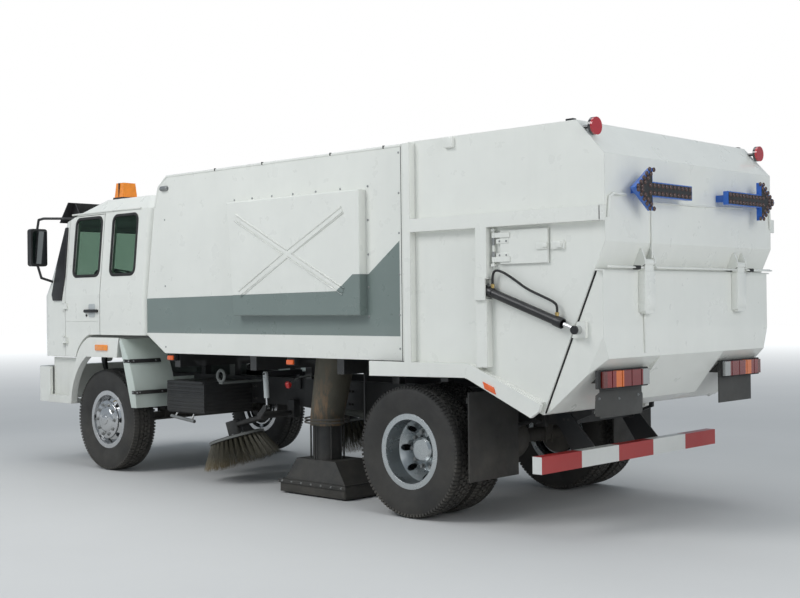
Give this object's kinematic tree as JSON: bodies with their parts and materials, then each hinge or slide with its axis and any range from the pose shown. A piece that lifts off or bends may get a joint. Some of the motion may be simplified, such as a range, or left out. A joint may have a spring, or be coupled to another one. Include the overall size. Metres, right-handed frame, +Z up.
{
  "type": "street sweeper truck",
  "caption": "Two-axle street sweeper truck with forward cab, engine house, tipping debris hopper with hydraulic tailgate, suction nozzles and side brushes",
  "frame": {"origin": "on the ground under the middle of the overall box", "axes": "+X towards the cab's front, +Y to the truck's left, +Z up"},
  "size_m": [7.4, 2.77, 2.89],
  "materials": {
    "white_paint": "gloss",
    "dark_steel": "satin",
    "grey_steel": "satin",
    "cast_axle": "matte",
    "tyre": "matte",
    "front_rim": "gloss",
    "rear_rim": "satin",
    "cab_glass": "gloss",
    "chrome_rod": "polished",
    "bristle": "matte",
    "bar_red": "gloss",
    "lamp_clear": "gloss",
    "lamp_red": "gloss",
    "lamp_amber": "gloss",
    "black_rubber": "matte",
    "tube_rubber": "matte",
    "seat_fabric": "matte",
    "black_plastic": "satin",
    "board_blue": "gloss"
  },
  "bodies": {
    "chassis": {"chassis_frame": "dark_steel", "front_axle": "cast_axle", "rear_axle": "cast_axle", "springs": "dark_steel", "engines": "cast_axle", "battery_box": "grey_steel", "fuel_tank": "grey_steel", "underride_bar": "bar_red", "bumper": "white_paint", "headlamps": "lamp_clear", "front_fender_left": "white_paint", "front_fender_right": "white_paint", "mudflaps": "black_rubber", "house_shell": "white_paint", "house_panels": "white_paint", "suction_tubes": "tube_rubber", "suction_nozzles": "dark_steel"},
    "cab": {"cab_shell": "white_paint", "cab_glass": "cab_glass", "seats": "seat_fabric", "dashboard": "black_plastic", "mirrors": "black_plastic", "sun_visor": "black_plastic", "beacons": "lamp_amber"},
    "hopper": {"hopper_shell": "white_paint", "hopper_frame": "white_paint", "arrow_boards": "board_blue", "roof_lamps": "lamp_red"},
    "side_hatch": {"access_door": "white_paint"},
    "tailgate": {"gate_shell": "white_paint", "tail_lamps": "lamp_red", "lamp_brackets": "black_plastic"},
    "tip_barrel_body": {"tip_barrel": "dark_steel"},
    "tip_rod_body": {"tip_rod": "chrome_rod"},
    "steer_knuckle_left": {"knuckle_left": "dark_steel"},
    "wheel_front_left": {"tyre_front_left": "tyre", "rim_front_left": "front_rim"},
    "wheels_rear_left": {"tyres_rear_left": "tyre", "rims_rear_left": "rear_rim"},
    "cab_door_left": {"door_left": "white_paint", "door_glass_left": "cab_glass"},
    "gate_barrel_left_body": {"gate_barrel_left": "dark_steel"},
    "gate_rod_left_body": {"gate_rod_left": "chrome_rod"},
    "brush_arm_left_body": {"brush_arm_left": "dark_steel"},
    "side_brush_left": {"brush_left": "bristle"},
    "brush_barrel_left_body": {"brush_barrel_left": "grey_steel"},
    "brush_rod_left_body": {"brush_rod_left": "chrome_rod"},
    "steer_knuckle_right": {"knuckle_right": "dark_steel"},
    "wheel_front_right": {"tyre_front_right": "tyre", "rim_front_right": "front_rim"},
    "wheels_rear_right": {"tyres_rear_right": "tyre", "rims_rear_right": "rear_rim"},
    "cab_door_right": {"door_right": "white_paint", "door_glass_right": "cab_glass"},
    "gate_barrel_right_body": {"gate_barrel_right": "dark_steel"},
    "gate_rod_right_body": {"gate_rod_right": "chrome_rod"},
    "brush_arm_right_body": {"brush_arm_right": "dark_steel"},
    "side_brush_right": {"brush_right": "bristle"},
    "brush_barrel_right_body": {"brush_barrel_right": "grey_steel"},
    "brush_rod_right_body": {"brush_rod_right": "chrome_rod"}
  },
  "joints": [
    {"name": "hopper_tip", "type": "hinge", "parent": "chassis", "child": "hopper", "pos_m": [-2.9, 0, 0.84], "axis": [0, -1, 0], "range_deg": [0, 45]},
    {"name": "tailgate_swing", "type": "hinge", "parent": "hopper", "child": "tailgate", "pos_m": [-3.572, 0, 1.895], "axis": [0, 1, 0], "range_deg": [0, 50]},
    {"name": "cab_tilt", "type": "hinge", "parent": "chassis", "child": "cab", "pos_m": [3.5, 0, 1.06], "axis": [0, 1, 0], "range_deg": [0, 45]},
    {"name": "side_hatch_swing", "type": "hinge", "parent": "hopper", "child": "side_hatch", "pos_m": [-2.65, 1.195, 2.02], "axis": [0, 0, -1], "range_deg": [0, 100]},
    {"name": "tip_barrel_turn", "type": "hinge", "parent": "chassis", "child": "tip_barrel_body", "pos_m": [-1, 0, 0.66], "axis": [0, 1, 0], "range_deg": [0, 8]},
    {"name": "tip_rod_slide", "type": "slide", "parent": "tip_barrel_body", "child": "tip_rod_body", "axis": [-0.9705, 0, 0.241], "range_m": [0, 0.33]},
    {"name": "steer_left", "type": "hinge", "parent": "chassis", "child": "steer_knuckle_left", "pos_m": [2.4, 0.86, 0.506], "axis": [0, 0, 1], "range_deg": [-32, 32]},
    {"name": "steer_right", "type": "hinge", "parent": "chassis", "child": "steer_knuckle_right", "pos_m": [2.4, -0.86, 0.506], "axis": [0, 0, 1], "range_deg": [-33, 33]},
    {"name": "front_wheel_turn_left", "type": "hinge", "parent": "steer_knuckle_left", "child": "wheel_front_left", "pos_m": [2.4, 0.99, 0.506], "axis": [0, 1, 0], "continuous": true},
    {"name": "rear_wheels_turn_left", "type": "hinge", "parent": "chassis", "child": "wheels_rear_left", "pos_m": [-1.8, 0.935, 0.506], "axis": [0, 1, 0], "continuous": true},
    {"name": "cab_door_swing_left", "type": "hinge", "parent": "cab", "child": "cab_door_left", "pos_m": [3.076, 1.188, 1.12], "axis": [0, 0.0527, -0.9986], "range_deg": [0, 70]},
    {"name": "gate_barrel_turn_left", "type": "hinge", "parent": "hopper", "child": "gate_barrel_left_body", "pos_m": [-2.567, 1.212, 1.727], "axis": [0, 1, 0], "range_deg": [0, 8]},
    {"name": "gate_rod_slide_left", "type": "slide", "parent": "gate_barrel_left_body", "child": "gate_rod_left_body", "axis": [-0.9414, 0, -0.3373], "range_m": [0, 0.42]},
    {"name": "brush_lift_left", "type": "hinge", "parent": "chassis", "child": "brush_arm_left_body", "pos_m": [0.32, 0.7, 0.64], "axis": [0, -1, 0], "range_deg": [-5, 12]},
    {"name": "brush_turn_left", "type": "hinge", "parent": "brush_arm_left_body", "child": "side_brush_left", "pos_m": [0.8, 0.75, 0.42], "axis": [0.2747, 0.0838, 0.9579], "continuous": true},
    {"name": "brush_barrel_turn_left", "type": "hinge", "parent": "chassis", "child": "brush_barrel_left_body", "pos_m": [0.26, 0.85, 1.015], "axis": [0, 1, 0], "range_deg": [-1.5, 3]},
    {"name": "brush_rod_slide_left", "type": "slide", "parent": "brush_barrel_left_body", "child": "brush_rod_left_body", "axis": [-0.0676, 0, -0.9977], "range_m": [-0.0085, 0.0205]},
    {"name": "front_wheel_turn_right", "type": "hinge", "parent": "steer_knuckle_right", "child": "wheel_front_right", "pos_m": [2.4, -0.99, 0.506], "axis": [0, 1, 0], "continuous": true},
    {"name": "rear_wheels_turn_right", "type": "hinge", "parent": "chassis", "child": "wheels_rear_right", "pos_m": [-1.8, -0.935, 0.506], "axis": [0, 1, 0], "continuous": true},
    {"name": "cab_door_swing_right", "type": "hinge", "parent": "cab", "child": "cab_door_right", "pos_m": [3.076, -1.188, 1.12], "axis": [0, 0.0527, 0.9986], "range_deg": [0, 70]},
    {"name": "gate_barrel_turn_right", "type": "hinge", "parent": "hopper", "child": "gate_barrel_right_body", "pos_m": [-2.567, -1.212, 1.727], "axis": [0, 1, 0], "range_deg": [0, 8]},
    {"name": "gate_rod_slide_right", "type": "slide", "parent": "gate_barrel_right_body", "child": "gate_rod_right_body", "axis": [-0.9414, 0, -0.3373], "range_m": [0, 0.42]},
    {"name": "brush_lift_right", "type": "hinge", "parent": "chassis", "child": "brush_arm_right_body", "pos_m": [0.32, -0.7, 0.64], "axis": [0, -1, 0], "range_deg": [-5, 12]},
    {"name": "brush_turn_right", "type": "hinge", "parent": "brush_arm_right_body", "child": "side_brush_right", "pos_m": [0.8, -0.75, 0.42], "axis": [0.2747, -0.0838, 0.9579], "continuous": true},
    {"name": "brush_barrel_turn_right", "type": "hinge", "parent": "chassis", "child": "brush_barrel_right_body", "pos_m": [0.26, -0.85, 1.015], "axis": [0, 1, 0], "range_deg": [-1.5, 3]},
    {"name": "brush_rod_slide_right", "type": "slide", "parent": "brush_barrel_right_body", "child": "brush_rod_right_body", "axis": [-0.0676, 0, -0.9977], "range_m": [-0.0085, 0.0205]}
  ],
  "couplings": [
    {"joint": "tip_barrel_turn", "follows": "hopper_tip", "ratio": 0.157},
    {"joint": "tip_rod_slide", "follows": "hopper_tip", "m_per_rad": 0.398},
    {"joint": "steer_right", "follows": "steer_left", "ratio": 1},
    {"joint": "gate_barrel_turn_left", "follows": "tailgate_swing", "ratio": 0.125},
    {"joint": "gate_rod_slide_left", "follows": "tailgate_swing", "m_per_rad": 0.4657},
    {"joint": "brush_barrel_turn_left", "follows": "brush_lift_left", "ratio": 0.215},
    {"joint": "brush_rod_slide_left", "follows": "brush_lift_left", "m_per_rad": 0.0925},
    {"joint": "gate_barrel_turn_right", "follows": "tailgate_swing", "ratio": 0.125},
    {"joint": "gate_rod_slide_right", "follows": "tailgate_swing", "m_per_rad": 0.4657},
    {"joint": "brush_barrel_turn_right", "follows": "brush_lift_right", "ratio": 0.215},
    {"joint": "brush_rod_slide_right", "follows": "brush_lift_right", "m_per_rad": 0.0925}
  ]
}
